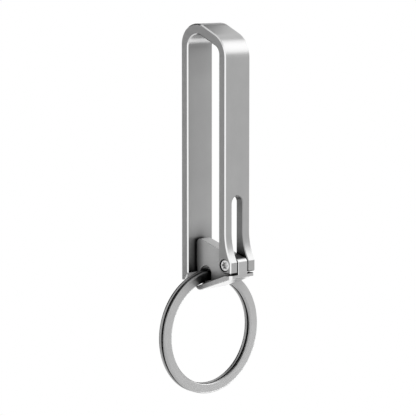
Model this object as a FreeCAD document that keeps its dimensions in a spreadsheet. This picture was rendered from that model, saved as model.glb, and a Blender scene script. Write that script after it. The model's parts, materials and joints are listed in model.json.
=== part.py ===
import FreeCAD, Part
import math
import os

import Sketcher
from FreeCAD import Placement, Rotation, Vector

# Belt key clip: a bent strip, a gate lever on a screwed pivot, and a split ring in the lever's eye.
# Frame: +Z up, front of the clip towards -Y, strip width along X.
# The origin is on the back leg's outer face, in the middle of its width, level with the gate's pivot.

doc = FreeCAD.newDocument("belt_key_clip")

# Driving dimensions, in millimetres and degrees
SIZES = {
    # Strip
    "strip_width": 9.0,
    "strip_thickness": 2.25,
    "clip_depth": 14.9,
    "crest_height": 59.05,
    "back_bend_radius": 5.25,
    "back_inner_radius": 3.2,
    "front_bend_radius": 6.4,
    "front_inner_radius": 2.5,
    "top_slope": 26.8,
    "top_thickness": 2.5,
    "back_tip_drop": 5.1,
    "tip_lead_height": 2.0,
    "tip_lead_depth": 1.0,
    "edge_chamfer": 0.27,
    "flare_depth": 1.85,
    "flare_height": 7.2,
    "flare_foot_height": 0.75,
    "knuckle_radius": 2.0,
    "knuckle_chamfer": 0.25,
    "slot_width": 3.9,
    "slot_height": 16.9,
    "slot_chamfer": 0.2,
    # Pivot
    "barrel_diameter": 1.7,
    "barrel_head_height": 1.0,
    "barrel_end_gap": 0.1,
    "barrel_chamfer": 0.3,
    "driver_slot_width": 0.5,
    "driver_slot_depth": 0.4,
    "running_clearance": 0.04,
    "counterbore_depth": 1.3,
    "head_diameter": 3.0,
    "head_clearance": 0.1,
    "head_height": 1.15,
    "head_round": 0.35,
    "screw_diameter": 1.1,
    "screw_length": 4.5,
    "screw_end_gap": 0.3,
    "thread_clearance": 0.03,
    "socket_diameter": 1.5,
    "socket_depth": 0.7,
    "lobe_diameter": 0.5,
    "washer_diameter": 3.5,
    "washer_thickness": 0.25,
    # Gate lever
    "web_thickness": 3.25,
    "gate_back_gap": 0.2,
    "tongue_rise": 1.85,
    "tongue_round": 1.2,
    "web_top_slope": 18.3,
    "web_corner_radius": 1.4,
    "web_tail_angle": 27.0,
    "plate_slope": 20.4,
    "plate_floor": 3.7,
    "plate_tip_setback": 0.56,
    "plate_tip_rise": 1.26,
    "plate_end_radius": 1.6,
    "plate_corner_chamfer": 0.7,
    "plate_edge_chamfer": 0.15,
    "stop_gap": 0.45,
    "stop_length": 1.95,
    "web_chamfer": 0.1,
    "eye_width": 3.6,
    "eye_rise": 2.4,
    "eye_fall": 1.95,
    "eye_corner_radius": 0.6,
    "eye_round": 0.25,
    # Return spring
    "spring_wire": 0.2,
    "spring_clearance": 0.15,
    "spring_pitch": 0.62,
    "spring_leg": 1.6,
    "spring_tang": 0.9,
    "pocket_clearance": 0.1,
    "pocket_depth": 2.3,
    # Split ring
    "ring_diameter": 31.4,
    "ring_wire_width": 2.5,
    "ring_wire_thickness": 0.97,
    "ring_edge_round": 0.4,
    "ring_turn_gap": 0.45,
    "ring_jog_start": 3.0,
    "ring_jog_angle": 28.0,
    "ring_end_angle": 2.0,
    "ring_yaw": 4.8,
    "ring_lean": 1.5,
    "eye_setback": 2.4,
    "ring_axis_rise": 3.45,
    # Overrun of every cut past the face that it leaves by
    "cut_overrun": 1.0,
}
LOBE_COUNT = 6
SPRING_TURNS = 3
JOG_SECTIONS = 9
GAP_STEPS = 240
EDGE_SAMPLES = 5
SAME_PLACE_SHARE = 0.25

# Places worked out from the driving dimensions
PLACES = {
    "inner_front_y": "Sizes.strip_thickness - Sizes.clip_depth",
    "knuckle_front_y": "-Sizes.clip_depth - Sizes.flare_depth",
    "pivot_y": "Sizes.strip_thickness - Sizes.clip_depth - Sizes.knuckle_radius",
    "bend_span": "Sizes.clip_depth - Sizes.back_bend_radius - Sizes.front_bend_radius",
    "bend_growth": "Sizes.front_bend_radius - Sizes.back_bend_radius",
    "back_bend_z": "Sizes.crest_height - Sizes.back_bend_radius",
    "front_bend_z": "back_bend_z - (bend_span * sin(Sizes.top_slope) + bend_growth) / cos(Sizes.top_slope)",
    "top_growth": "Sizes.top_thickness - Sizes.strip_thickness",
    "back_shift": "Sizes.back_bend_radius - Sizes.strip_thickness - Sizes.back_inner_radius",
    "back_lift": "back_shift * (1 + sin(Sizes.top_slope)) - top_growth",
    "back_inner_z": "back_bend_z + back_lift / cos(Sizes.top_slope)",
    "front_shift": "Sizes.front_bend_radius - Sizes.strip_thickness - Sizes.front_inner_radius",
    "front_lift": "front_shift * (1 - sin(Sizes.top_slope)) - top_growth",
    "front_inner_z": "front_bend_z + front_lift / cos(Sizes.top_slope)",
    "flare_radius": "(Sizes.flare_height ^ 2 + Sizes.flare_depth ^ 2) / (2 * Sizes.flare_depth)",
    "counterbore_diameter": "Sizes.head_diameter + 2 * Sizes.head_clearance",
    "seat_x": "Sizes.strip_width / 2 - Sizes.counterbore_depth",
    "pivot_bore": "Sizes.barrel_diameter + 2 * Sizes.running_clearance",
    "front_reach": "pivot_y - knuckle_front_y",
    "gate_reach": "-Sizes.strip_thickness - pivot_y - Sizes.gate_back_gap",
    "tongue_corner_v": "(Sizes.tongue_rise - front_reach * sin(Sizes.web_top_slope))"
                       " / cos(Sizes.web_top_slope)",
    "tongue_cut": "Sizes.tongue_round * tan(45 - Sizes.web_top_slope / 2)",
    "web_corner_v": "(Sizes.tongue_rise + gate_reach * sin(Sizes.web_top_slope))"
                    " / cos(Sizes.web_top_slope)",
    "web_corner_cut": "Sizes.web_corner_radius * tan(45 + Sizes.web_top_slope / 2)",
    "plate_reach": "gate_reach - Sizes.plate_tip_setback",
    "axis_depth": "Sizes.plate_floor - Sizes.ring_axis_rise",
    "axis_along": "sqrt((gate_reach - Sizes.eye_setback) ^ 2 - axis_depth ^ 2)",
    "ring_axis_reach": "axis_along * cos(Sizes.plate_slope) - axis_depth * sin(Sizes.plate_slope)",
    "ring_axis_drop": "axis_along * sin(Sizes.plate_slope) + axis_depth * cos(Sizes.plate_slope)",
    "tip_depth": "Sizes.plate_floor - Sizes.plate_tip_rise",
    "tip_along": "sqrt(plate_reach ^ 2 - tip_depth ^ 2)",
    "tip_u": "tip_along * cos(Sizes.plate_slope) - tip_depth * sin(Sizes.plate_slope)",
    "tip_v": "-tip_along * sin(Sizes.plate_slope) - tip_depth * cos(Sizes.plate_slope)",
    "tip_run": "sqrt(2 * Sizes.plate_end_radius * Sizes.plate_tip_rise - Sizes.plate_tip_rise ^ 2)",
    "plate_end_along": "tip_along - tip_run",
    "plate_end_u": "plate_end_along * cos(Sizes.plate_slope) - Sizes.plate_floor * sin(Sizes.plate_slope)",
    "plate_end_v": "-plate_end_along * sin(Sizes.plate_slope) - Sizes.plate_floor * cos(Sizes.plate_slope)",
    "plate_front_v": "(front_reach * sin(Sizes.plate_slope) - Sizes.plate_floor)"
                     " / cos(Sizes.plate_slope)",
    "stop_v": "-Sizes.knuckle_radius - Sizes.stop_gap",
    "eye_top_v": "Sizes.eye_rise - ring_axis_drop - Sizes.eye_width / 2",
    "eye_bottom_v": "(Sizes.eye_width / 2 - Sizes.eye_fall) / cos(Sizes.plate_slope) - ring_axis_drop",
    "eye_corner_u": "ring_axis_reach - Sizes.eye_width / 2",
    "eye_corner_v": "eye_bottom_v - Sizes.eye_width / 2 * tan(45 - Sizes.plate_slope / 2)",
    "eye_corner_cut": "Sizes.eye_corner_radius * tan(45 - Sizes.plate_slope / 2)",
    "coil_radius": "Sizes.barrel_diameter / 2 + Sizes.spring_clearance + Sizes.spring_wire / 2",
    "pocket_diameter": "2 * coil_radius + Sizes.spring_wire + 2 * Sizes.pocket_clearance",
    "key_width": "Sizes.spring_wire + 2 * Sizes.pocket_clearance",
}


# Spreadsheets of the driving dimensions and of the places
def fill_sheet(name, rows, prefix):
    sheet = doc.addObject("Spreadsheet::Sheet", name)
    for row, (alias, content) in enumerate(rows.items(), start=1):
        sheet.set(f"A{row}", alias)
        sheet.set(f"B{row}", f"{prefix}{content}")
        sheet.setAlias(f"B{row}", alias)
    doc.recompute()
    return sheet


sizes = fill_sheet("Sizes", SIZES, "")
places = fill_sheet("Places", PLACES, "=")


def value(expression):
    return float(places.evalExpression(expression))


# Sketches: outlines of lines and arcs, whose corners and radii are bound to the sheets
def new_body(name, at_pivot=True):
    body = doc.addObject("PartDesign::Body", name)
    body.Label = name
    if at_pivot:
        body.setExpression("Placement.Base.y", "Places.pivot_y")
    return body


def origin_feature(body, role):
    return next(item for item in body.Origin.OriginFeatures if item.Role == role)


def new_sketch(body, name, plane, offset):
    sketch = body.newObject("Sketcher::SketchObject", name)
    sketch.AttachmentSupport = (origin_feature(body, plane), [""])
    sketch.MapMode = "FlatFace"
    if offset:
        sketch.setExpression("AttachmentOffset.Base.z", offset)
    return sketch


def bind(sketch, kind, geometry, amount, expression):
    index = sketch.addConstraint(Sketcher.Constraint(kind, *geometry, amount))
    label = f"size{index}"
    sketch.renameConstraint(index, label)
    sketch.setExpression(f"Constraints.{label}", expression)


def bind_point(sketch, geometry, point_position, corner):
    axes = (("DistanceX", -2), ("DistanceY", -1))
    for (kind, axis), expression in zip(axes, corner):
        if expression == "0":
            sketch.addConstraint(Sketcher.Constraint("PointOnObject", geometry, point_position, axis))
        else:
            bind(sketch, kind, (-1, 1, geometry, point_position), value(expression), expression)


def arc_between(start, end, radius, turn):
    chord = end - start
    side = Vector(-chord.y, chord.x, 0).normalize()
    if turn == "right":
        side = side * -1
    centre = (start + end) * 0.5 + side * math.sqrt(max(radius ** 2 - chord.Length ** 2 / 4, 0))
    first, last = (start, end) if turn == "left" else (end, start)
    angles = [math.atan2(point.y - centre.y, point.x - centre.x) for point in (first, last)]
    if angles[1] < angles[0]:
        angles[1] += 2 * math.pi
    return Part.ArcOfCircle(Part.Circle(centre, Vector(0, 0, 1), radius), *angles)


# Each corner is (first, second), reached by a line, or (first, second, radius, turn), reached by an arc
def outline_sketch(body, name, plane, corners, offset=None):
    sketch = new_sketch(body, name, plane, offset)
    points = [Vector(value(corner[0]), value(corner[1]), 0) for corner in corners]
    ends = []
    for index, corner in enumerate(corners):
        start = points[index - 1]
        end = points[index]
        if len(corner) == 2:
            sketch.addGeometry(Part.LineSegment(start, end), False)
            ends.append((1, 2))
        else:
            sketch.addGeometry(arc_between(start, end, value(corner[2]), corner[3]), False)
            ends.append((1, 2) if corner[3] == "left" else (2, 1))
    for index, corner in enumerate(corners):
        following = (index + 1) % len(corners)
        joint = (index, ends[index][1], following, ends[following][0])
        sketch.addConstraint(Sketcher.Constraint("Coincident", *joint))
    for index, corner in enumerate(corners):
        bind_point(sketch, index, ends[index][1], corner[:2])
        if len(corner) > 2:
            bind(sketch, "Radius", (index,), value(corner[2]), corner[2])
    doc.recompute()
    return sketch


def circle_sketch(body, name, diameter, offset=None, centre=("0", "0")):
    sketch = new_sketch(body, name, "YZ_Plane", offset)
    middle = Vector(value(centre[0]), value(centre[1]), 0)
    sketch.addGeometry(Part.Circle(middle, Vector(0, 0, 1), value(diameter) / 2), False)
    bind_point(sketch, 0, 3, centre)
    bind(sketch, "Diameter", (0,), value(diameter), diameter)
    doc.recompute()
    return sketch


# Features: each pad and pocket runs both ways from its sketch
def extrude(body, kind, sketch, length):
    feature = body.newObject(f"PartDesign::{kind}", f"{sketch.Name}_{kind.lower()}")
    feature.Profile = sketch
    feature.SideType = "Symmetric"
    feature.setExpression("Length", length)
    doc.recompute()
    return feature


def pad(body, sketch, length):
    return extrude(body, "Pad", sketch, length)


def pocket(body, sketch, length):
    before = body.Shape.Volume
    feature = extrude(body, "Pocket", sketch, length)
    if body.Shape.Volume >= before:
        raise RuntimeError(f"{sketch.Name} cuts nothing")
    return feature


def soften(body, kind, size_property, name, size, wanted):
    base = body.Tip
    picked = [f"Edge{n}" for n, edge in enumerate(base.Shape.Edges, start=1) if wanted(edge)]
    if not picked:
        raise RuntimeError(f"{name} finds no edge")
    feature = body.newObject(f"PartDesign::{kind}", name)
    feature.Base = (base, picked)
    feature.setExpression(size_property, size)
    doc.recompute()
    return feature


def chamfer(body, name, size, wanted):
    return soften(body, "Chamfer", "Size", name, size, wanted)


def fillet(body, name, radius, wanted):
    return soften(body, "Fillet", "Radius", name, radius, wanted)


# Edge tests: an edge counts where points along it all lie on the plane, band or ring that is asked for
def edge_points(edge):
    return edge.discretize(EDGE_SAMPLES)


def near(first, second):
    return abs(first - second) < sizes.running_clearance * SAME_PLACE_SHARE


def on_side(edge, half_width):
    return all(near(abs(point.x), half_width) for point in edge_points(edge))


# The slot's rim on the front leg's two faces: its arch, and the edges that run up and down its walls
def slot_rim(edge):
    half = sizes.slot_width / 2
    arch_foot = sizes.slot_height - half
    points = edge_points(edge)
    on_wall = all(near(abs(point.x), half) and point.z < arch_foot + half for point in points)
    on_arch = all(near(math.hypot(point.x, point.z - arch_foot), half) for point in points)
    runs_through = near(points[0].z, points[-1].z) and near(points[0].x, points[-1].x)
    return (on_wall or on_arch) and not runs_through


# Where a bend of the strip, with its centre and radius given, runs into the sloped top
def slope_end(centre_y, centre_z, radius):
    return f"{centre_y} - {radius} * sin(Sizes.top_slope)", f"{centre_z} + {radius} * cos(Sizes.top_slope)"


# Clip strip: back leg, two bends, thicker sloped top, and a front leg that flares into a forked knuckle
def make_clip_strip():
    body = new_body("clip_strip", at_pivot=False)
    back, front = "Sizes.back_bend_radius", "Sizes.front_bend_radius"
    inner_back, inner_front = "Sizes.back_inner_radius", "Sizes.front_inner_radius"
    slope_start = slope_end(f"-{back}", "Places.back_bend_z", back)
    slope_foot = slope_end(f"{front} - Sizes.clip_depth", "Places.front_bend_z", front)
    inner_foot = slope_end(f"Places.inner_front_y + {inner_front}", "Places.front_inner_z", inner_front)
    inner_start = slope_end(f"-Sizes.strip_thickness - {inner_back}", "Places.back_inner_z", inner_back)
    corners = [
        ("0", "-Sizes.back_tip_drop"),
        ("0", "Places.back_bend_z"),
        (*slope_start, back, "left"),
        slope_foot,
        ("-Sizes.clip_depth", "Places.front_bend_z", front, "left"),
        ("-Sizes.clip_depth", "Sizes.flare_foot_height + Sizes.flare_height"),
        ("Places.knuckle_front_y", "Sizes.flare_foot_height", "Places.flare_radius", "right"),
        ("Places.knuckle_front_y", "Sizes.knuckle_chamfer - Sizes.knuckle_radius"),
        ("Places.knuckle_front_y + Sizes.knuckle_chamfer", "-Sizes.knuckle_radius"),
        ("Places.pivot_y", "-Sizes.knuckle_radius"),
        ("Places.inner_front_y", "0", "Sizes.knuckle_radius", "left"),
        ("Places.inner_front_y", "Places.front_inner_z"),
        (*inner_foot, inner_front, "right"),
        inner_start,
        ("-Sizes.strip_thickness", "Places.back_inner_z", inner_back, "right"),
        ("-Sizes.strip_thickness", "Sizes.tip_lead_height - Sizes.back_tip_drop"),
        ("Sizes.tip_lead_depth - Sizes.strip_thickness", "-Sizes.back_tip_drop"),
    ]
    pad(body, outline_sketch(body, "strip_outline", "YZ_Plane", corners), "Sizes.strip_width")
    chamfer(body, "strip_edges", "Sizes.edge_chamfer", lambda edge: on_side(edge, sizes.strip_width / 2))

    half_slot = "Sizes.slot_width / 2"
    slot_foot = "-Sizes.knuckle_radius - Sizes.cut_overrun"
    arch_foot = f"Sizes.slot_height - {half_slot}"
    slot = [
        (half_slot, slot_foot),
        (half_slot, arch_foot),
        ("0", "Sizes.slot_height", half_slot, "left"),
        (f"-{half_slot}", arch_foot, half_slot, "left"),
        (f"-{half_slot}", slot_foot),
    ]
    slot_sketch = outline_sketch(body, "fork_slot", "XZ_Plane", slot, "Sizes.clip_depth")
    pocket(body, slot_sketch, "2 * (Sizes.flare_depth + Sizes.strip_thickness + Sizes.cut_overrun)")
    chamfer(body, "slot_edges", "Sizes.slot_chamfer", slot_rim)

    axis = ("Places.pivot_y", "0")
    bore = circle_sketch(body, "pivot_hole", "Places.pivot_bore", centre=axis)
    pocket(body, bore, "Sizes.strip_width + 2 * Sizes.cut_overrun")
    for side, sign in (("left", "-"), ("right", "")):
        sketch = circle_sketch(
            body, f"counterbore_{side}", "Places.counterbore_diameter", f"{sign}Sizes.strip_width / 2", axis
        )
        pocket(body, sketch, "2 * Sizes.counterbore_depth")

    half_key = "Places.key_width / 2"
    key_end = "-Places.pocket_diameter / 2"
    key = [
        (f"Places.pivot_y - {half_key}", key_end),
        (f"Places.pivot_y + {half_key}", key_end),
        (f"Places.pivot_y + {half_key}", "0"),
        (f"Places.pivot_y - {half_key}", "0"),
    ]
    key_sketch = outline_sketch(body, "spring_key", "YZ_Plane", key, "-Sizes.slot_width / 2")
    pocket(body, key_sketch, "2 * Sizes.spring_tang")
    return body


# Gate lever: a web that turns in the fork, a thumb plate under it, and an eye for the ring
def make_gate_lever():
    body = new_body("gate_lever")
    front = "-Places.front_reach"
    tongue_cut = "Places.tongue_cut"
    reach = "Places.gate_reach"
    cut = "Places.web_corner_cut"
    slope = "Sizes.web_top_slope"
    tongue_top = (
        f"{front} + {tongue_cut} * cos({slope})",
        f"Places.tongue_corner_v + {tongue_cut} * sin({slope})",
    )
    tip = ("Places.tip_u", "Places.tip_v")
    plate_end = ("Places.plate_end_u", "Places.plate_end_v", "Sizes.plate_end_radius", "right")
    plate_front = (front, "Places.plate_front_v")
    web = [
        (front, f"Places.tongue_corner_v - {tongue_cut}"),
        (*tongue_top, "Sizes.tongue_round", "right"),
        (f"{reach} - {cut} * cos({slope})", f"Places.web_corner_v - {cut} * sin({slope})"),
        (reach, f"Places.web_corner_v - {cut}", "Sizes.web_corner_radius", "right"),
        (reach, "0"),
        (f"{reach} * cos(Sizes.web_tail_angle)", f"-{reach} * sin(Sizes.web_tail_angle)", reach, "right"),
        tip,
        plate_end,
        plate_front,
    ]
    pad(body, outline_sketch(body, "web_outline", "YZ_Plane", web), "Sizes.web_thickness")
    chamfer(body, "web_edges", "Sizes.web_chamfer", lambda edge: on_side(edge, sizes.web_thickness / 2))

    plate = [
        (front, "Places.stop_v"),
        (f"{front} + Sizes.stop_length", "Places.stop_v"),
        tip,
        plate_end,
        plate_front,
    ]
    pad(body, outline_sketch(body, "plate_outline", "YZ_Plane", plate), "Sizes.strip_width")

    def front_corner(edge):
        at_front = all(near(point.y, -places.front_reach) for point in edge_points(edge))
        return at_front and on_side(edge, sizes.strip_width / 2)

    chamfer(body, "plate_corners", "Sizes.plate_corner_chamfer", front_corner)
    chamfer(
        body, "plate_edges", "Sizes.plate_edge_chamfer", lambda edge: on_side(edge, sizes.strip_width / 2)
    )

    half_eye = "Sizes.eye_width / 2"
    middle = "Places.ring_axis_reach"
    fall = "Sizes.plate_slope"
    corner_cut = "Places.eye_corner_cut"
    corner_floor = (
        f"Places.eye_corner_u + {corner_cut} * cos({fall})",
        f"Places.eye_corner_v - {corner_cut} * sin({fall})",
        "Sizes.eye_corner_radius",
        "left",
    )
    eye = [
        (f"{middle} + {half_eye}", "Places.eye_top_v"),
        (middle, f"Places.eye_top_v + {half_eye}", half_eye, "left"),
        ("Places.eye_corner_u", "Places.eye_top_v", half_eye, "left"),
        ("Places.eye_corner_u", f"Places.eye_corner_v + {corner_cut}"),
        corner_floor,
        (f"{middle} - {half_eye} * sin({fall})", f"Places.eye_bottom_v - {half_eye} * cos({fall})"),
        (f"{middle} + {half_eye}", "Places.eye_bottom_v", half_eye, "left"),
    ]
    eye_sketch = outline_sketch(body, "ring_eye", "YZ_Plane", eye)
    pocket(body, eye_sketch, "2 * Sizes.web_thickness")

    def on_eye(point):
        flat = Part.Vertex(Vector(0, point.y, point.z))
        return near(eye_sketch.Shape.distToShape(flat)[0], 0)

    def eye_rim(edge):
        return on_side(edge, sizes.web_thickness / 2) and all(on_eye(point) for point in edge_points(edge))

    fillet(body, "eye_rim", "Sizes.eye_round", eye_rim)

    pocket(body, circle_sketch(body, "lever_bore", "Places.pivot_bore"), "2 * Sizes.web_thickness")
    left_face = "-Sizes.web_thickness / 2"
    spring_pocket = circle_sketch(body, "spring_pocket", "Places.pocket_diameter", left_face)
    pocket(body, spring_pocket, "2 * Sizes.pocket_depth")
    half_key = "Places.key_width / 2"
    leg_end = "Sizes.spring_leg + Sizes.pocket_clearance"
    groove = [
        ("0", f"-Places.coil_radius - {half_key}"),
        (leg_end, f"-Places.coil_radius - {half_key}"),
        (leg_end, f"{half_key} - Places.coil_radius"),
        ("0", f"{half_key} - Places.coil_radius"),
    ]
    groove_sketch = outline_sketch(body, "spring_groove", "YZ_Plane", groove, left_face)
    pocket(body, groove_sketch, "2 * Sizes.pocket_depth")
    return body


# Pivot screw: rounded head in the left counterbore, six-lobed socket, shank in the barrel
def make_pivot_screw():
    body = new_body("pivot_screw")
    head_middle = "-Places.seat_x - Sizes.head_height / 2"
    head_face = "-Places.seat_x - Sizes.head_height"
    pad(body, circle_sketch(body, "screw_head", "Sizes.head_diameter", head_middle), "Sizes.head_height")
    outer_x = -places.seat_x - sizes.head_height

    def head_rim(edge):
        return all(near(point.x, outer_x) for point in edge_points(edge))

    fillet(body, "head_rim", "Sizes.head_round", head_rim)
    shank_middle = "Sizes.screw_length / 2 - Places.seat_x"
    shank = circle_sketch(body, "screw_shank", "Sizes.screw_diameter", shank_middle)
    pad(body, shank, "Sizes.screw_length")
    socket = circle_sketch(body, "socket", "Sizes.socket_diameter", head_face)
    pocket(body, socket, "2 * Sizes.socket_depth")
    lobe_centre = ("Sizes.socket_diameter / 2", "0")
    lobe = circle_sketch(body, "socket_lobe", "Sizes.lobe_diameter", head_face, lobe_centre)
    lobe_cut = pocket(body, lobe, "2 * Sizes.socket_depth")
    pattern = body.newObject("PartDesign::PolarPattern", "socket_lobes")
    pattern.Originals = [lobe_cut]
    pattern.Axis = (origin_feature(body, "X_Axis"), [""])
    pattern.Angle = 360
    pattern.Occurrences = LOBE_COUNT
    body.Tip = pattern
    doc.recompute()
    return body


# Pivot barrel: sleeve that the lever turns on, threaded by the screw, headed in the right counterbore
def make_pivot_barrel():
    body = new_body("pivot_barrel")
    sleeve = "2 * Places.seat_x - Sizes.barrel_end_gap"
    head_middle = "Places.seat_x + Sizes.barrel_head_height / 2"
    head_face = "Places.seat_x + Sizes.barrel_head_height"
    sleeve_middle = "Sizes.barrel_end_gap / 2"
    sleeve_sketch = circle_sketch(body, "barrel_sleeve", "Sizes.barrel_diameter", sleeve_middle)
    pad(body, sleeve_sketch, sleeve)
    head_sketch = circle_sketch(body, "barrel_head", "Sizes.head_diameter", head_middle)
    pad(body, head_sketch, "Sizes.barrel_head_height")
    outer_x = places.seat_x + sizes.barrel_head_height

    def head_rim(edge):
        return all(near(point.x, outer_x) for point in edge_points(edge))

    chamfer(body, "barrel_rim", "Sizes.barrel_chamfer", head_rim)
    bore_diameter = "Sizes.screw_diameter + 2 * Sizes.thread_clearance"
    bore = circle_sketch(body, "barrel_bore", bore_diameter, "-Places.seat_x")
    pocket(body, bore, "2 * (Sizes.screw_length + Sizes.screw_end_gap)")
    half_slot = "Sizes.driver_slot_width / 2"
    slot_end = "Sizes.head_diameter"
    slot = [
        (slot_end, f"-{half_slot}"),
        (slot_end, half_slot),
        (f"-{slot_end}", half_slot),
        (f"-{slot_end}", f"-{half_slot}"),
    ]
    slot_sketch = outline_sketch(body, "driver_slot", "YZ_Plane", slot, head_face)
    pocket(body, slot_sketch, "2 * Sizes.driver_slot_depth")
    return body


# Washers: one in each gap between the lever and a tine; the left one lets the spring's tang through
def make_washer(name, sign, bore):
    body = new_body(name)
    gap_middle = f"{sign}(Sizes.web_thickness + Sizes.slot_width) / 4"
    rim_sketch = circle_sketch(body, f"{name}_rim", "Sizes.washer_diameter", gap_middle)
    pad(body, rim_sketch, "Sizes.washer_thickness")
    bore_sketch = circle_sketch(body, f"{name}_bore", bore, gap_middle)
    pocket(body, bore_sketch, "2 * Sizes.washer_thickness")
    return body


# Return spring: an open coil round the barrel, a leg in the lever's groove, a tang in the left tine
def make_return_spring():
    radius = places.coil_radius
    wire_radius = sizes.spring_wire / 2
    coil_length = SPRING_TURNS * sizes.spring_pitch
    start_x = -sizes.web_thickness / 2 + sizes.pocket_clearance + wire_radius
    helix = Part.makeHelix(sizes.spring_pitch, coil_length, radius)
    start = Vector(radius, 0, 0)
    tangent = helix.Edges[0].tangentAt(helix.Edges[0].FirstParameter)
    section = Part.Wire(Part.Circle(start, tangent, wire_radius).toShape())
    coil = Part.Wire(helix).makePipeShell([section], True, True)
    coil_end = Vector(radius, 0, coil_length)
    tang_length = (sizes.slot_width - sizes.web_thickness) / 2 + sizes.spring_tang - sizes.pocket_clearance
    tang = Part.makeCylinder(wire_radius, tang_length, start, Vector(0, 0, -1))
    leg = Part.makeCylinder(wire_radius, sizes.spring_leg, coil_end, Vector(0, 1, 0))
    bends = [Part.makeSphere(wire_radius, point) for point in (start, coil_end)]
    half_turn = GAP_STEPS // 2
    next_turn = [helix_point(radius, step) for step in range(half_turn, GAP_STEPS + half_turn)]
    least = min((point - start).Length for point in next_turn)
    print(f"return_spring: least gap between turns {least - sizes.spring_wire:.3f} mm")
    feature = doc.addObject("Part::Feature", "return_spring")
    feature.Shape = coil.fuse([tang, leg] + bends).removeSplitter()
    along_pivot = Rotation(Vector(0, 1, 0), 90)
    feature.Placement = Placement(Vector(start_x, places.pivot_y, 0), along_pivot)
    return feature


def helix_point(radius, step):
    angle = 2 * math.pi * step / GAP_STEPS
    return Vector(radius * math.cos(angle), radius * math.sin(angle), sizes.spring_pitch * step / GAP_STEPS)


# Split ring: two flat turns of one wire, joined by a jog where the wire changes layers
def make_split_ring():
    half_pitch = (sizes.ring_wire_thickness + sizes.ring_turn_gap) / 2
    jog_first = -sizes.ring_jog_start - sizes.ring_jog_angle
    turn_angle = 360 - sizes.ring_jog_angle - sizes.ring_end_angle
    front = wire_turn(jog_first, half_pitch, -turn_angle)
    back = wire_turn(-sizes.ring_jog_start, -half_pitch, turn_angle)
    sections = []
    for index in range(JOG_SECTIONS):
        share = index / (JOG_SECTIONS - 1)
        eased = share * share * (3 - 2 * share)
        angle = jog_first + share * sizes.ring_jog_angle
        sections.append(wire_section(angle, half_pitch * (1 - 2 * eased)))
    jog = Part.makeLoft(sections, True, False)
    feature = doc.addObject("Part::Feature", "split_ring")
    feature.Shape = front.fuse([jog, back]).removeSplitter()
    print(f"split_ring: least gap between turns {least_turn_gap(half_pitch):.3f} mm")
    hanging = Rotation(Vector(1, 0, 0), 90) * Rotation(Vector(0, 0, 1), 90)
    turned = Rotation(Vector(0, 0, 1), -sizes.ring_yaw) * Rotation(Vector(1, 0, 0), sizes.ring_lean)
    swing_axis = Vector(0, places.pivot_y + places.ring_axis_reach, -places.ring_axis_drop)
    centre = swing_axis + turned.multVec(Vector(0, 0, -ring_mean_radius()))
    feature.Placement = Placement(centre, turned * hanging)
    return feature


def ring_mean_radius():
    return (sizes.ring_diameter - sizes.ring_wire_width) / 2


def wire_section(angle, height):
    half_width = sizes.ring_wire_width / 2
    half_thickness = sizes.ring_wire_thickness / 2
    rounding = sizes.ring_edge_round
    corners = [(1, -1), (1, 1), (-1, 1), (-1, -1)]
    edges = []
    joints = []
    for out, up in corners:
        centre = (out * (half_width - rounding), up * (half_thickness - rounding))
        along = (centre[0] + out * rounding, centre[1])
        across = (centre[0], centre[1] + up * rounding)
        diagonal = rounding * math.sqrt(0.5)
        middle = (centre[0] + out * diagonal, centre[1] + up * diagonal)
        ends = (across, along) if out * up < 0 else (along, across)
        spots = [ring_point(angle, height, *spot) for spot in (ends[0], middle, ends[1])]
        edges.append(Part.Arc(*spots).toShape())
        joints.append(ends)
    for index, ends in enumerate(joints):
        following = joints[(index + 1) % len(joints)]
        start = ring_point(angle, height, *ends[1])
        end = ring_point(angle, height, *following[0])
        edges.append(Part.LineSegment(start, end).toShape())
    return Part.Wire(Part.__sortEdges__(edges))


def ring_point(angle, height, across, along):
    turned = math.radians(angle)
    radius = ring_mean_radius() + across
    return Vector(radius * math.cos(turned), radius * math.sin(turned), height + along)


def wire_turn(angle, height, sweep):
    face = Part.Face(wire_section(angle, height))
    return face.revolve(Vector(0, 0, 0), Vector(0, 0, 1), sweep)


def least_turn_gap(half_pitch):
    facing = half_pitch - sizes.ring_wire_thickness / 2
    spots = [360 * step / GAP_STEPS for step in range(GAP_STEPS)]
    fronts = [ring_point(spot, facing, 0, 0) for spot in spots]
    backs = [ring_point(spot, -facing, 0, 0) for spot in spots]
    return min((front - back).Length for front in fronts for back in backs)


pieces = [
    make_clip_strip(),
    make_gate_lever(),
    make_pivot_screw(),
    make_pivot_barrel(),
    make_washer("washer_left", "-", "Places.pocket_diameter"),
    make_washer("washer_right", "", "Places.pivot_bore"),
    make_return_spring(),
    make_split_ring(),
]
doc.recompute()

# Every object and every piece is sound before anything is written
for item in doc.Objects:
    if "Invalid" in item.State or "Error" in item.State:
        raise RuntimeError(f"{item.Label} failed: {item.State}")
for piece in pieces:
    shape = piece.Shape
    if shape.isNull() or not shape.isValid() or len(shape.Solids) != 1:
        raise RuntimeError(f"{piece.Label} is not one valid solid")

os.makedirs("parts", exist_ok=True)
for piece in pieces:
    piece.Shape.exportStep(os.path.join("parts", f"{piece.Label}.step"))
    print(f"{piece.Label}: {piece.Shape.Volume:.2f} mm3")
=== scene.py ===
import json
import math

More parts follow.
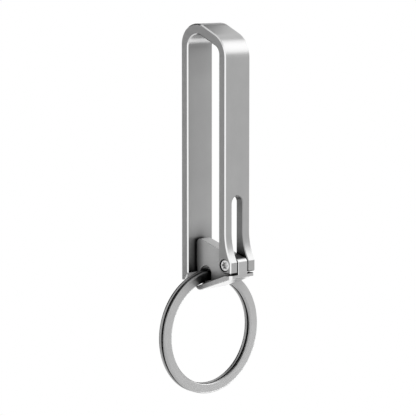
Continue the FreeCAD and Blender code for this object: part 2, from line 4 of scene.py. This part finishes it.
import bpy
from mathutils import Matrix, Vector


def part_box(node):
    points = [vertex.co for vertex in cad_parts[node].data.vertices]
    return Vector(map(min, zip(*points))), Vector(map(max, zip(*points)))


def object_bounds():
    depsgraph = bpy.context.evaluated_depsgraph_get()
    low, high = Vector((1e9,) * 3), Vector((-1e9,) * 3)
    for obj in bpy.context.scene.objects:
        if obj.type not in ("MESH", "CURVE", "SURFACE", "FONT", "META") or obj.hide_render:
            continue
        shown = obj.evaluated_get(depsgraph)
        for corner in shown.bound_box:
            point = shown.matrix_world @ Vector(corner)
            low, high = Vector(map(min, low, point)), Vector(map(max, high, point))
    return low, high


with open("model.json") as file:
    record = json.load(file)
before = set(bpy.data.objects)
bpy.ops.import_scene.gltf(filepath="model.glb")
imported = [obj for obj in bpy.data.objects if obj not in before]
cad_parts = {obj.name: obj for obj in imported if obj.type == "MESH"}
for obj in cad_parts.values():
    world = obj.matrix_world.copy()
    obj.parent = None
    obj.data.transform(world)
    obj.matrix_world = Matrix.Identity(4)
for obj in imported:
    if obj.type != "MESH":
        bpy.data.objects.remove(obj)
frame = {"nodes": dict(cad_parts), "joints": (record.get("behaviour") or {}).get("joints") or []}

# Belt key clip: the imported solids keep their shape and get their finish, light and view here.
# Metres throughout, in the part's own frame: +Z up, front of the clip towards -Y.

MM = 0.001
CAD_LOW, CAD_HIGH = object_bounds()
CENTRE = (CAD_LOW + CAD_HIGH) / 2
_, STRIP_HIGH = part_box("clip_strip")
RING_LOW, RING_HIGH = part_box("split_ring")
SCREW_LOW, SCREW_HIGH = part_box("pivot_screw")

# View of the photograph, with its angles in degrees
VIEW_AZIMUTH = -46.94
VIEW_ELEVATION = 6.96
VIEW_DISTANCE = 511.85 * MM
VIEW_ORIGIN = Vector((0, -7.45, 13.2)) * MM
VIEW_AIM_LEFT = 1.85 * MM
VIEW_AIM_UP = 0.07 * MM
LENS = 178.1
SENSOR = 36.0

# Grey and roughness of each finish
STRIP_GREY = 0.355
LEVER_GREY = 0.40
BLAST_ROUGHNESS = 0.31
GROUND_GREY = 0.54
GROUND_ROUGHNESS = 0.42
CHAMFER_GREY = 0.62
CHAMFER_ROUGHNESS = 0.16
RING_GREY = 0.42
RING_ROUGHNESS = 0.3
SCREW_GREY = 0.95
SCREW_ROUGHNESS = 0.3
SPRING_GREY = 0.3
SPRING_ROUGHNESS = 0.3
WASHER_GREY = 0.02
WASHER_ROUGHNESS = 0.55

# Size of the patterns in the finishes
BLAST_GRAIN = 0.09 * MM
BLAST_DEPTH = 0.004 * MM
CLOUD_SIZE = 5 * MM
CLOUD_DETAIL = 3
BRUSH_PITCH = 0.05 * MM
BRUSH_DEPTH = 0.003 * MM
GRIND_LENGTH = 1.5 * MM
FINE_DETAIL = 2

# How far each pattern moves a grey, as a share of it, or a roughness
BLAST_CLOUD_SHARE = 0.06
BLAST_GRAIN_SHARE = 0.05
BLAST_ROUGHNESS_SPREAD = 0.03
GRIND_SHARE = 0.15
TURNED_MARK_SHARE = 0.08
TURNED_CLOUD_SHARE = 0.05
TURNED_ROUGHNESS_SPREAD = 0.05
WASHER_SHARE = 0.2

# Chamfers and side faces are known by how far their normal leans to the side
CHAMFER_WIDTH = 0.27 * MM
CHAMFER_MARGIN = 1.1
CHAMFER_LEAN = math.sqrt(0.5)
CHAMFER_LEAN_SPREAD = 0.2
SIDE_LEAN = 0.95

# Painted shade in recesses: how far to look for other metal, and how strongly the painted shade darkens
# the place
STRIP_PAINTED_SHADE = ((12 * MM, 0.5), (5 * MM, 1.25), (1 * MM, 1.2))
LEVER_PAINTED_SHADE = ((12 * MM, 0.3), (3 * MM, 1.0), (1 * MM, 0.7))
RING_PAINTED_SHADE = ((12 * MM, 1.6), (3 * MM, 0.9), (1 * MM, 0.5))
SCREW_PAINTED_SHADE = ((1 * MM, 0.9),)

# Studio: each lamp and card lies at an offset from the middle of the clip and faces it
FLOOR_DROP = 250 * MM
FLOOR_RADIUS = 0.8
FLOOR_SIDES = 96
FLOOR_GREY = 0.88
STAGE_ROUGHNESS = 0.9
WORLD_STRENGTH = 1.0
LAMPS = {
    "lamp_right": {"offset": (0.45, -0.28, 0.32), "size": (0.40, 0.38), "radiance": 2.1},
    "lamp_low": {"offset": (0.30, -0.135, -0.21), "size": (0.20, 0.18), "radiance": 2.4},
    "lamp_under": {"offset": (0.31, 0.25, -0.15), "size": (0.20, 0.14), "radiance": 1.1},
    "lamp_front": {"offset": (-0.423, -0.423, 0.052), "size": (0.16, 0.80), "radiance": 0.5},
    "lamp_top": {"offset": (0.31, 0.10, 0.32), "size": (0.20, 0.20), "radiance": 0.28},
}
CARDS = {
    "card_left": {"offset": (-0.33, 0.31, -0.05), "size": (0.40, 0.50), "level": 0.60},
    "card_above": {"offset": (-0.064, 0.363, 0.258), "size": (0.52, 0.52), "level": 0.03},
    "card_back": {"offset": (0.283, 0.362, 0.024), "size": (0.42, 0.22), "level": 0.06},
    "card_far": {"offset": (-0.039, 0.444, -0.063), "size": (0.34, 0.22), "level": 0.03},
    "card_near": {"offset": (0.068, 0.034, -0.007), "size": (0.050, 0.045), "level": 0.03, "shades": True},
    "card_crest": {"offset": (0.038, 0.032, 0.083), "size": (0.024, 0.022), "level": 0.03},
}


# Node helpers: an input takes either a value or another node's output
def feed(tree, socket, given):
    if hasattr(given, "is_output"):
        tree.links.new(given, socket)
    else:
        socket.default_value = given


def add_node(tree, kind, **inputs):
    node = tree.nodes.new(kind)
    for name, given in inputs.items():
        feed(tree, node.inputs[name.replace("_", " ")], given)
    return node


def calculate(tree, kind, operation, operands):
    node = tree.nodes.new(kind)
    node.operation = operation
    for socket, given in zip(node.inputs, operands):
        feed(tree, socket, given)
    return node


def math_node(tree, operation, *operands):
    return calculate(tree, "ShaderNodeMath", operation, operands).outputs["Value"]


def vector_node(tree, operation, *operands):
    return calculate(tree, "ShaderNodeVectorMath", operation, operands).outputs["Vector"]


def length_node(tree, operation, *operands):
    return calculate(tree, "ShaderNodeVectorMath", operation, operands).outputs["Value"]


def noise(tree, place, size, detail):
    node = add_node(tree, "ShaderNodeTexNoise", Vector=place, Scale=1 / size, Detail=detail)
    return node.outputs["Fac"]


def spread(tree, factor, middle, half):
    node = add_node(tree, "ShaderNodeMapRange", Value=factor, To_Min=middle - half, To_Max=middle + half)
    return node.outputs["Result"]


def choose(tree, factor, without, with_it):
    return add_node(tree, "ShaderNodeMix", Factor=factor, A=without, B=with_it).outputs["Result"]


def coordinates(tree, output):
    return tree.nodes.new("ShaderNodeTexCoord").outputs[output]


# How far a point's place or normal is to either side
def sideways(tree, output):
    node = add_node(tree, "ShaderNodeSeparateXYZ", Vector=coordinates(tree, output))
    return math_node(tree, "ABSOLUTE", node.outputs["X"])


def new_material(name):
    material = bpy.data.materials.new(name)
    material.use_nodes = True
    tree = material.node_tree
    return material, tree, tree.nodes["Principled BSDF"]


def set_surface(tree, shader, level, roughness, metallic):
    colour = add_node(tree, "ShaderNodeCombineColor", Red=level, Green=level, Blue=level)
    feed(tree, shader.inputs["Base Color"], colour.outputs["Color"])
    feed(tree, shader.inputs["Roughness"], roughness)
    feed(tree, shader.inputs["Metallic"], metallic)


def bump(tree, shader, height, depth):
    node = add_node(tree, "ShaderNodeBump", Height=height, Distance=depth)
    feed(tree, shader.inputs["Normal"], node.outputs["Normal"])


# Painted shade: the grey is made darker where other metal closes a place in, as in the slot, the fork and
# the eye
def paint_recess_shade(tree, level, painted_shade):
    for reach, darkness in painted_shade:
        openness = add_node(tree, "ShaderNodeAmbientOcclusion", Distance=reach).outputs["AO"]
        level = math_node(tree, "MULTIPLY", level, math_node(tree, "POWER", openness, darkness))
    return level


# 1 on a chamfer, which slopes to the side by about 45 degrees and lies outside the given half width
def chamfer_share(tree, outside):
    off_slope = math_node(tree, "SUBTRACT", sideways(tree, "Normal"), CHAMFER_LEAN)
    sloped = math_node(tree, "LESS_THAN", math_node(tree, "ABSOLUTE", off_slope), CHAMFER_LEAN_SPREAD)
    far_out = math_node(tree, "GREATER_THAN", sideways(tree, "Object"), outside)
    return math_node(tree, "MULTIPLY", sloped, far_out)


# 1 on a side face, square to the pivot
def side_share(tree):
    return math_node(tree, "GREATER_THAN", sideways(tree, "Normal"), SIDE_LEAN)


# Grind marks that run from front to back
def grind_marks(tree, place):
    stretch = (1 / BRUSH_PITCH, 1 / GRIND_LENGTH, 1 / BRUSH_PITCH)
    return noise(tree, vector_node(tree, "MULTIPLY", place, stretch), size=1, detail=FINE_DETAIL)


# Blasted metal with bright cut chamfers, painted shade in recesses, and ground sides where their grey is
# given
def blasted_metal(name, level, painted_shade, chamfers_outside, ground_level=None):
    material, tree, shader = new_material(name)
    place = coordinates(tree, "Object")
    clouds = noise(tree, place, CLOUD_SIZE, CLOUD_DETAIL)
    grain = noise(tree, place, BLAST_GRAIN, FINE_DETAIL)
    chamfer = chamfer_share(tree, chamfers_outside)
    cloud_tone = spread(tree, clouds, 1, BLAST_CLOUD_SHARE)
    grain_tone = spread(tree, grain, 1, BLAST_GRAIN_SHARE)
    tone = math_node(tree, "MULTIPLY", cloud_tone, grain_tone)
    face_level = math_node(tree, "MULTIPLY", tone, level)
    face_roughness = spread(tree, clouds, BLAST_ROUGHNESS, BLAST_ROUGHNESS_SPREAD)
    if ground_level is not None:
        side = side_share(tree)
        side_level = spread(tree, grind_marks(tree, place), ground_level, ground_level * GRIND_SHARE)
        face_level = choose(tree, side, face_level, side_level)
        face_roughness = choose(tree, side, face_roughness, GROUND_ROUGHNESS)
    # The face grey gets painted shade in recesses; chamfers keep their own grey
    metal_level = choose(tree, chamfer, paint_recess_shade(tree, face_level, painted_shade), CHAMFER_GREY)
    metal_roughness = choose(tree, chamfer, face_roughness, CHAMFER_ROUGHNESS)
    set_surface(tree, shader, metal_level, metal_roughness, metallic=1.0)
    bump(tree, shader, grain, BLAST_DEPTH)
    return material


# Metal with fine circular marks round an axis, and painted shade in recesses
def turned_metal(name, level, roughness, painted_shade, centre, axis):
    material, tree, shader = new_material(name)
    place = coordinates(tree, "Object")
    offset = vector_node(tree, "SUBTRACT", place, centre)
    along = length_node(tree, "DOT_PRODUCT", offset, axis)
    radius = length_node(tree, "LENGTH", vector_node(tree, "CROSS_PRODUCT", offset, axis))
    marks_place = add_node(tree, "ShaderNodeCombineXYZ", X=radius, Y=along).outputs["Vector"]
    marks = noise(tree, marks_place, BRUSH_PITCH, FINE_DETAIL)
    clouds = noise(tree, place, CLOUD_SIZE, CLOUD_DETAIL)
    mark_tone = spread(tree, marks, 1, TURNED_MARK_SHARE)
    cloud_tone = spread(tree, clouds, 1, TURNED_CLOUD_SHARE)
    tone = math_node(tree, "MULTIPLY", mark_tone, cloud_tone)
    # The turned grey gets painted shade in recesses
    metal_level = paint_recess_shade(tree, math_node(tree, "MULTIPLY", tone, level), painted_shade)
    metal_roughness = spread(tree, marks, roughness, TURNED_ROUGHNESS_SPREAD)
    set_surface(tree, shader, metal_level, metal_roughness, metallic=1.0)
    bump(tree, shader, marks, BRUSH_DEPTH)
    return material


# Plain moulded washer
def washer_plastic():
    material, tree, shader = new_material("washer_black")
    grain = noise(tree, coordinates(tree, "Object"), BLAST_GRAIN, FINE_DETAIL)
    level = spread(tree, grain, WASHER_GREY, WASHER_GREY * WASHER_SHARE)
    set_surface(tree, shader, level, WASHER_ROUGHNESS, metallic=0.0)
    bump(tree, shader, grain, BLAST_DEPTH)
    return material


def finish_nodes():
    # The ring lies square to this axis, a quarter turn round Z from the one that it swings on
    ring_joint = next(joint for joint in frame["joints"] if joint["name"] == "ring_swing")
    swing = Vector(ring_joint["axis"])
    ring_axis = Vector((-swing.y, swing.x, 0))
    ring_centre = (RING_LOW + RING_HIGH) / 2
    screw_centre = (SCREW_LOW + SCREW_HIGH) / 2
    pivot_axis = Vector((1, 0, 0))
    screw = turned_metal(
        "screw_turned", SCREW_GREY, SCREW_ROUGHNESS, SCREW_PAINTED_SHADE, screw_centre, pivot_axis
    )
    spring = turned_metal(
        "spring_drawn", SPRING_GREY, SPRING_ROUGHNESS, SCREW_PAINTED_SHADE, screw_centre, pivot_axis
    )
    ring = turned_metal("ring_brushed", RING_GREY, RING_ROUGHNESS, RING_PAINTED_SHADE, ring_centre, ring_axis)
    washer = washer_plastic()
    strip = blasted_metal(
        "strip_blasted", STRIP_GREY, STRIP_PAINTED_SHADE,
        chamfers_outside=STRIP_HIGH.x - CHAMFER_WIDTH * CHAMFER_MARGIN,
    )
    lever = blasted_metal(
        "lever_blasted", LEVER_GREY, LEVER_PAINTED_SHADE, chamfers_outside=0, ground_level=GROUND_GREY
    )
    finishes = {
        "clip_strip": strip,
        "gate_lever": lever,
        "pivot_screw": screw,
        "pivot_barrel": screw,
        "washer_left": washer,
        "washer_right": washer,
        "return_spring": spring,
        "split_ring": ring,
    }
    for node, material in finishes.items():
        for slot in frame["nodes"][node].material_slots:
            slot.material = material


def add_object(name, data):
    added = bpy.data.objects.new(name, data)
    bpy.context.scene.collection.objects.link(added)
    return added


def make_sheet(name, corners, level):
    mesh = bpy.data.meshes.new(name)
    mesh.from_pydata(corners, [], [tuple(range(len(corners)))])
    sheet = add_object(name, mesh)
    material, _, shader = new_material(f"{name}_plain")
    shader.inputs["Base Color"].default_value = (level, level, level, 1)
    shader.inputs["Roughness"].default_value = STAGE_ROUGHNESS
    mesh.materials.append(material)
    return sheet


def make_floor():
    height = CAD_LOW.z - FLOOR_DROP
    turns = [2 * math.pi * side / FLOOR_SIDES for side in range(FLOOR_SIDES)]
    rim = [(FLOOR_RADIUS * math.cos(turn), FLOOR_RADIUS * math.sin(turn), height) for turn in turns]
    make_sheet("floor", rim, FLOOR_GREY)


def place_facing(placed, location, target):
    placed.location = location
    placed.rotation_euler = (target - placed.location).to_track_quat("-Z", "Y").to_euler()


def make_lamp(name, offset, size, radiance):
    light = bpy.data.lights.new(name, "AREA")
    light.shape = "RECTANGLE"
    light.size, light.size_y = size
    light.energy = radiance * math.pi * light.size * light.size_y
    lamp = add_object(name, light)
    place_facing(lamp, CENTRE + Vector(offset), CENTRE)
    lamp.visible_camera = False


# A card shows only in reflections, and blocks light only where it shades
def make_card(name, offset, size, level, shades=False):
    wide, high = size[0] / 2, size[1] / 2
    corners = [(-wide, -high, 0), (wide, -high, 0), (wide, high, 0), (-wide, high, 0)]
    card = make_sheet(name, corners, level)
    place_facing(card, CENTRE + Vector(offset), CENTRE)
    card.visible_camera = False
    card.visible_diffuse = False
    card.visible_shadow = shades


def make_world():
    world = bpy.data.worlds.new("studio")
    world.use_nodes = True
    background = world.node_tree.nodes["Background"]
    background.inputs["Color"].default_value = (1, 1, 1, 1)
    background.inputs["Strength"].default_value = WORLD_STRENGTH
    bpy.context.scene.world = world


def make_camera():
    azimuth, elevation = math.radians(VIEW_AZIMUTH), math.radians(VIEW_ELEVATION)
    flat = math.cos(elevation)
    back = Vector((math.sin(azimuth) * flat, -math.cos(azimuth) * flat, math.sin(elevation)))
    right = Vector((math.cos(azimuth), math.sin(azimuth), 0))
    aim = VIEW_ORIGIN - right * VIEW_AIM_LEFT + Vector((0, 0, VIEW_AIM_UP))
    data = bpy.data.cameras.new("camera")
    data.sensor_width = SENSOR
    data.lens = LENS
    camera = add_object("camera", data)
    place_facing(camera, VIEW_ORIGIN + back * VIEW_DISTANCE, aim)
    bpy.context.scene.camera = camera


finish_nodes()
make_floor()
make_world()
for name, lamp in LAMPS.items():
    make_lamp(name, **lamp)
for name, card in CARDS.items():
    make_card(name, **card)
make_camera()
bpy.context.scene.view_settings.view_transform = "Standard"
